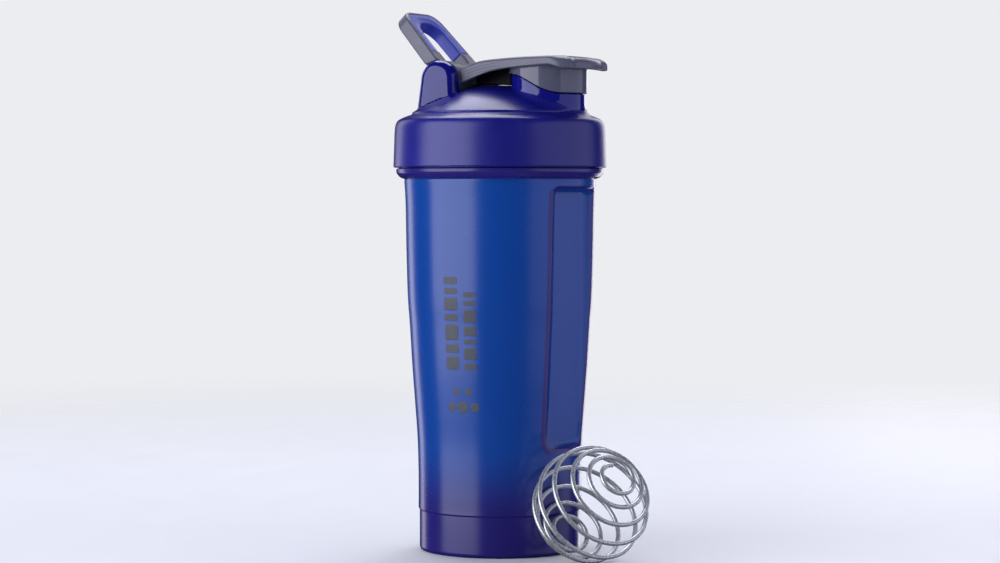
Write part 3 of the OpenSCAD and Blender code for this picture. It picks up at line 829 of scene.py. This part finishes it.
class Shader:
    """A material with a Principled shader and short calls for the nodes that feed it."""

    def __init__(self, name):
        self.material = bpy.data.materials.new(name)
        self.material.use_nodes = True
        self.nodes = self.material.node_tree.nodes
        self.links = self.material.node_tree.links
        self.bsdf = self.nodes["Principled BSDF"]
        self.place = self.nodes.new("ShaderNodeTexCoord").outputs["Object"]

    def set(self, **values):
        for name, value in values.items():
            self.bsdf.inputs[name.replace("_", " ")].default_value = value
        return self

    def feed(self, source, target):
        if hasattr(source, "is_output"):
            self.links.new(source, target)
        else:
            target.default_value = source

    def link(self, source, name):
        self.links.new(source, self.bsdf.inputs[name])
        return self

    def noise(self, scale, detail=3.0, rough=0.5, stretch=(1, 1, 1), seed=0.0):
        spread = self.nodes.new("ShaderNodeMapping")
        spread.inputs["Scale"].default_value = stretch
        spread.inputs["Location"].default_value = (seed, seed * 1.7, seed * 0.6)
        self.links.new(self.place, spread.inputs["Vector"])
        node = self.nodes.new("ShaderNodeTexNoise")
        self.links.new(spread.outputs["Vector"], node.inputs["Vector"])
        node.inputs["Scale"].default_value = scale
        node.inputs["Detail"].default_value = detail
        node.inputs["Roughness"].default_value = rough
        return node.outputs["Fac"]

    def math(self, kind, a, b=0.0, c=0.0):
        node = self.nodes.new("ShaderNodeMath")
        node.operation = kind
        for value, socket in zip((a, b, c), node.inputs):
            self.feed(value, socket)
        return node.outputs[0]

    def span(self, value, low, high, to_low=0.0, to_high=1.0, smooth=False):
        node = self.nodes.new("ShaderNodeMapRange")
        node.interpolation_type = "SMOOTHSTEP" if smooth else "LINEAR"
        for name, v in zip(("From Min", "From Max", "To Min", "To Max"), (low, high, to_low, to_high)):
            node.inputs[name].default_value = v
        self.links.new(value, node.inputs["Value"])
        return node.outputs["Result"]

    def mix(self, share, a, b):
        node = self.nodes.new("ShaderNodeMix")
        node.data_type = "RGBA"
        self.feed(share, node.inputs[0])
        self.feed(a, node.inputs[6])
        self.feed(b, node.inputs[7])
        return node.outputs[2]

    def split(self):
        node = self.nodes.new("ShaderNodeSeparateXYZ")
        self.links.new(self.place, node.inputs[0])
        return node.outputs

    def bump(self, height, strength, distance, under=None):
        node = self.nodes.new("ShaderNodeBump")
        node.inputs["Strength"].default_value = strength
        node.inputs["Distance"].default_value = distance
        self.links.new(height, node.inputs["Height"])
        if under is not None:
            self.links.new(under, node.inputs["Normal"])
        return node.outputs["Normal"]

    def attribute(self, name):
        node = self.nodes.new("ShaderNodeAttribute")
        node.attribute_name = name
        return node.outputs["Fac"]


def moulded(name, dark, base, light, rough, grain=2600.0, depth=0.00002):
    """Moulded plastic: fine tool texture, slow flow marks, a few scuffs and slight colour drift."""
    m = Shader(name)
    flow = m.noise(26, 4, 0.55, (1, 1, 0.5), 3.1)
    colour = m.mix(m.span(flow, 0.35, 0.65), dark, base)
    drift = m.span(m.noise(140, 3, 0.6, seed=1.3), 0.55, 0.8)
    colour = m.mix(m.math("MULTIPLY", drift, 0.35), colour, light)
    m.link(colour, "Base Color")
    smear = m.span(m.noise(60, 2, 0.5, (1, 1, 0.35), 7.7), 0.1, 0.9, rough * 0.85, rough * 1.25)
    scuff = m.span(m.noise(420, 2, 0.5, (1, 1, 6), 5.2), 0.55, 0.78, 0.0, 0.06)
    m.link(m.math("ADD", smear, scuff), "Roughness")
    fine = m.bump(m.noise(grain, 2, 0.5), 0.1, depth)
    m.link(m.bump(m.noise(40, 2, 0.5, seed=2.2), 0.06, 0.0002, fine), "Normal")
    return m


def bottle_plastic():
    """Clear blue, with painted shade in dark indigo on the foot, on the flange and neck, and on the grip panels'
    rims.
    """
    m = Shader("bottle_plastic")
    height = m.split()[2]
    flow = m.noise(18, 4, 0.5, (1, 1, 0.3), 2.4)
    core = m.mix(m.span(flow, 0.3, 0.7), rgb(0, 56, 134), rgb(2, 62, 142))
    indigo = m.mix(m.span(m.noise(30, 3, 0.5, seed=4.0), 0.3, 0.7), rgb(30, 24, 100), rgb(38, 30, 110))
    # painted shade: dark indigo fading in towards the foot
    foot = m.span(height, 0.016, 0.050, 1.0, 0.0, smooth=True)
    # painted shade: dark indigo on the flange and the neck above it
    top = m.span(height, 0.1660, 0.1668, 0.0, 1.0, smooth=True)
    # painted shade on the panel rims as well, from the edge attribute; this mask is painted shade, not wall
    # thickness
    thick = m.math("MAXIMUM", m.math("MAXIMUM", foot, top), m.attribute("edge"))
    m.link(m.mix(thick, core, indigo), "Base Color")
    smear = m.span(m.noise(45, 2, 0.5, (1, 1, 0.25), 8.0), 0.1, 0.9, 0.21, 0.27)
    scuff = m.span(m.noise(500, 2, 0.5, (1, 1, 5), 5.0), 0.55, 0.8, 0.0, 0.05)
    m.link(m.math("ADD", smear, scuff), "Roughness")
    fine = m.bump(m.noise(1400, 2, 0.5), 0.06, 0.00002)
    m.link(m.bump(m.noise(30, 2, 0.5, seed=6.0), 0.04, 0.0002, fine), "Normal")
    m.set(IOR=1.5)
    return m.material


def polished(m):
    """Makes the painted parts of a piece glossier than the rest."""
    rough = m.bsdf.inputs["Roughness"].links[0].from_socket
    m.link(m.math("MULTIPLY", rough, m.span(m.attribute("polish"), 0, 1, 1.0, 0.3)), "Roughness")


def lid_plastic():
    m = moulded("lid_plastic", rgb(14, 14, 106), rgb(18, 20, 120), rgb(28, 30, 136), 0.3)
    polished(m)
    m.set(IOR=1.5)
    return m.material


def grey_plastic(name):
    m = moulded(name, rgb(78, 79, 96), rgb(88, 89, 106), rgb(104, 105, 120), 0.3)
    m.set(IOR=1.5)
    return m


def cap_plastic():
    """Grey plastic with fine steps along the sides of the arm, and painted shade on the web under it: dark colour
    and little gloss.
    """
    m = grey_plastic("cap_plastic")
    polished(m)
    x, y, z = m.split()
    back = m.math("MAXIMUM", m.math("SUBTRACT", 0.015, x), 0.0)
    below = m.math("SUBTRACT", m.math("MULTIPLY_ADD", m.math("MULTIPLY", back, back), -6.2, 0.2199), z)
    steps = m.math("SINE", m.math("MULTIPLY", below, 2 * math.pi / 0.0013))
    outer = m.span(m.math("ABSOLUTE", y), 0.0145, 0.0150)
    side = m.math("MULTIPLY", outer, m.span(x, 0.004, 0.016, 1.0, 0.0, smooth=True))
    side = m.math("MULTIPLY", side, m.span(below, 0.0012, 0.0020))
    under = m.bsdf.inputs["Normal"].links[0].from_socket
    m.link(m.bump(m.math("MULTIPLY", steps, side), 0.5, 0.00012, under), "Normal")
    colour = m.bsdf.inputs["Base Color"].links[0].from_socket
    # painted shade: the web under the arm is painted near black and its gloss turned down, standing in for its
    # shadow
    m.link(m.mix(m.attribute("shade"), colour, rgb(10, 10, 18)), "Base Color")
    m.link(m.span(m.attribute("shade"), 0, 1, 0.5, 0.05), "Specular IOR Level")
    return m.material


def grip_rubber():
    m = moulded("grip_rubber", rgb(34, 48, 150), rgb(42, 58, 165), rgb(58, 74, 180), 0.38, 1500, 0.00004)
    m.set(IOR=1.45, Sheen_Weight=0.08)
    return m.material


def dark_rubber(name, tone):
    shades = [rgb(tone + more, tone + more, tone + more + 4) for more in (0, 8, 24)]
    return moulded(name, *shades, 0.55, 1500, 0.00004).material


def brushed_steel(name, rough, metal):
    m = Shader(name)
    fine = m.noise(900, 4, 0.6, (1, 1, 1), 1.0)
    m.link(m.mix(m.span(fine, 0.3, 0.7), rgb(186, 190, 192), rgb(208, 211, 212)), "Base Color")
    m.link(m.span(m.noise(300, 4, 0.7, seed=3.0), 0.3, 0.7, rough * 0.8, rough * 1.3), "Roughness")
    m.link(m.bump(m.noise(1600, 3, 0.6, seed=5.0), 0.1, 0.00002), "Normal")
    m.set(Metallic=metal)
    return m.material


def print_ink():
    m = Shader("print_ink")
    grain = m.noise(3200, 3, 0.6)
    m.link(m.mix(m.span(grain, 0.35, 0.65), rgb(58, 62, 74), rgb(72, 76, 86)), "Base Color")
    m.link(m.span(m.noise(700, 4, 0.6, seed=2.0), 0.3, 0.7, 0.42, 0.58), "Roughness")
    m.link(m.bump(grain, 0.2, 0.00001), "Normal")
    return m.material


def floor_material():
    """Pale paint that fades out into the background, before the floor reaches the rim lights."""
    m = Shader("floor_paint")
    drift = m.noise(3.0, 3, 0.5)
    m.link(m.mix(m.span(drift, 0.3, 0.7), rgb(214, 215, 218), rgb(219, 220, 222)), "Base Color")
    m.link(m.span(m.noise(40, 4, 0.5), 0.3, 0.7, 0.6, 0.7), "Roughness")
    m.link(m.bump(m.noise(600, 3, 0.5), 0.05, 0.0001), "Normal")
    away = m.nodes.new("ShaderNodeVectorMath")
    away.operation = "LENGTH"
    m.links.new(m.place, away.inputs[0])
    clear, mix = m.nodes.new("ShaderNodeBsdfTransparent"), m.nodes.new("ShaderNodeMixShader")
    m.links.new(m.span(away.outputs["Value"], 0.3, 1.15, smooth=True), mix.inputs[0])
    m.links.new(m.bsdf.outputs[0], mix.inputs[1])
    m.links.new(clear.outputs[0], mix.inputs[2])
    m.links.new(mix.outputs[0], m.nodes["Material Output"].inputs["Surface"])
    return m.material


# ---------------------------------------------------------------- the pieces

def dress(node, material):
    """Gives a CAD node that stays in view its finish."""
    mesh = frame["nodes"][node].data
    mesh.materials.clear()
    mesh.materials.append(material)


def make_object():
    """Every piece of the shaker, with the vertices that a material reads painted."""
    make_bottle(bottle_plastic())
    make_mark(print_ink())
    lid = field_piece("lid_shell", lid_field(), (-49, -49, 170.8), (49, 49, 220.6), 0.62)
    finish_piece(lid, "lid", lid_plastic(), "lid_plastic", "lid")
    x, y, z = vertices_mm(lid)
    spout = np.hypot(x - SPOUT_X, y) < SPOUT_R + 0.4
    tower = (np.abs(y) > TOWER_IN - 0.2) & (x < -9) & (z > 199)
    paint(lid, "polish", spout | tower)
    cap = field_piece("flip_cap_shell", cap_field(), (-31, -22.5, 200.2), (48.5, 22.5, 221), 0.42)
    finish_piece(cap, "flip_cap", cap_plastic(), "cap_plastic", "flip_cap")
    x, y, z = vertices_mm(cap)
    paint(cap, "polish", (np.abs(np.hypot(x - SPOUT_X, y) - SKIRT_R) < 0.3) & (z < 216.6))
    # painted shade: marks the web under the arm, which the cap material paints dark as its shadow
    painted_shade_web = (np.abs(y) < WEB_HALF + 0.3) & (x > -10) & (x < SPOUT_X - SKIRT_R + 1.5) & (z < 217.4)
    paint(cap, "shade", painted_shade_web)
    frame_part, grip_part = loop_fields()
    loop = field_piece("loop_frame", frame_part, (-48, -18.2, 200.5), (-10, 18.2, 244), 0.34)
    finish_piece(loop, "carry_loop", grey_plastic("loop_plastic").material, "loop_plastic", "carry_loop")
    grip = field_piece("loop_soft_grip", grip_part, (-48, -17, 217), (-22, 17, 244), 0.3)
    finish_piece(grip, "carry_loop", grip_rubber(), "grip_rubber", "loop_grip")
    make_ball(brushed_steel("wire_steel", 0.26, 0.7))
    dress("lid_gasket", dark_rubber("gasket_rubber", 26))
    dress("spout_seal", dark_rubber("seal_rubber", 34))
    dress("hinge_pin", brushed_steel("pin_steel", 0.3, 1.0))


# ---------------------------------------------------------------- floor, light and camera

CAMERA_BEARING = -60.0
CAMERA_DISTANCE = 1.1475
CAMERA_HEIGHT = 0.1593
CAMERA_TILT = 1.943
CAMERA_LENS = 91.8
FLOOR_HALF, FLOOR_Z_MM = 2000.0, -0.02


def make_floor():
    half, z = FLOOR_HALF, FLOOR_Z_MM
    corners = [(-half, -half, z), (half, -half, z), (half, half, z), (-half, half, z)]
    floor = make_piece("floor", corners, [(0, 1, 2, 3)])
    floor.data.materials.append(floor_material())
    floor.visible_glossy = False


def soft_box(name, bearing, distance, height, width, tall, power, colour, aim=(0, 0, 0.12)):
    """A rectangular light at that bearing from the camera's side of the object."""
    data = bpy.data.lights.new(name, "AREA")
    data.shape = "RECTANGLE"
    data.size, data.size_y = width, tall
    data.energy = power
    data.color = colour
    light = bpy.data.objects.new(name, data)
    angle = math.radians(CAMERA_BEARING + bearing)
    light.location = (distance * math.cos(angle), distance * math.sin(angle), height)
    light.rotation_euler = (Vector(aim) - light.location).to_track_quat("-Z", "Y").to_euler()
    light.visible_camera = False
    bpy.context.scene.collection.objects.link(light)
    return light


def make_lights():
    soft_box("key", -60, 1.1, 0.36, 1.35, 1.1, 15, (0.93, 0.94, 1.0))
    soft_box("fill", 76, 1.2, 0.35, 2.1, 1.2, 7, (0.78, 0.76, 1.0))
    soft_box("top", 176, 0.6, 1.2, 1.0, 0.8, 12, (0.95, 0.95, 1.0), (0, 0, 0.2))
    soft_box("rim_left", -140, 1.3, 0.3, 0.35, 1.1, 2.5, (0.9, 0.85, 1.0))
    soft_box("rim_right", 158, 1.3, 0.3, 0.35, 1.1, 3.5, (0.95, 0.92, 1.0))


def make_world():
    """A soft sky light, nearly dark in reflections, with a plain pale backdrop for the camera."""
    world = bpy.data.worlds.new("studio")
    bpy.context.scene.world = world
    world.use_nodes = True
    nodes, links = world.node_tree.nodes, world.node_tree.links
    nodes.clear()
    out, path = nodes.new("ShaderNodeOutputWorld"), nodes.new("ShaderNodeLightPath")
    below = None
    layers = ((None, (0.75, 0.8, 1.0, 1), 0.45), ("Is Glossy Ray", (0.5, 0.55, 1.0, 1), 0.03),
              ("Is Camera Ray", rgb(236, 237, 240), 1.0))
    for ray, colour, strength in layers:
        layer = nodes.new("ShaderNodeBackground")
        layer.inputs["Color"].default_value = colour
        layer.inputs["Strength"].default_value = strength
        if below is None:
            below = layer.outputs[0]
            continue
        mix = nodes.new("ShaderNodeMixShader")
        links.new(path.outputs[ray], mix.inputs[0])
        links.new(below, mix.inputs[1])
        links.new(layer.outputs[0], mix.inputs[2])
        below = mix.outputs[0]
    links.new(below, out.inputs["Surface"])


def make_camera():
    """A long lens at the object's left front, almost level."""
    data = bpy.data.cameras.new("camera")
    data.sensor_width = 36.0
    data.lens = CAMERA_LENS
    data.clip_start, data.clip_end = 0.01, 20
    camera = bpy.data.objects.new("camera", data)
    bearing, tilt = math.radians(CAMERA_BEARING), math.radians(CAMERA_TILT)
    out = Vector((math.cos(bearing), math.sin(bearing), 0))
    camera.location = out * CAMERA_DISTANCE + Vector((0, 0, CAMERA_HEIGHT))
    look = Vector((-out.x * math.cos(tilt), -out.y * math.cos(tilt), -math.sin(tilt)))
    camera.rotation_euler = look.to_track_quat("-Z", "Y").to_euler()
    bpy.context.scene.collection.objects.link(camera)
    bpy.context.scene.camera = camera


bpy.context.scene.view_settings.view_transform = "Standard"
make_object()
make_floor()
make_lights()
make_world()
make_camera()
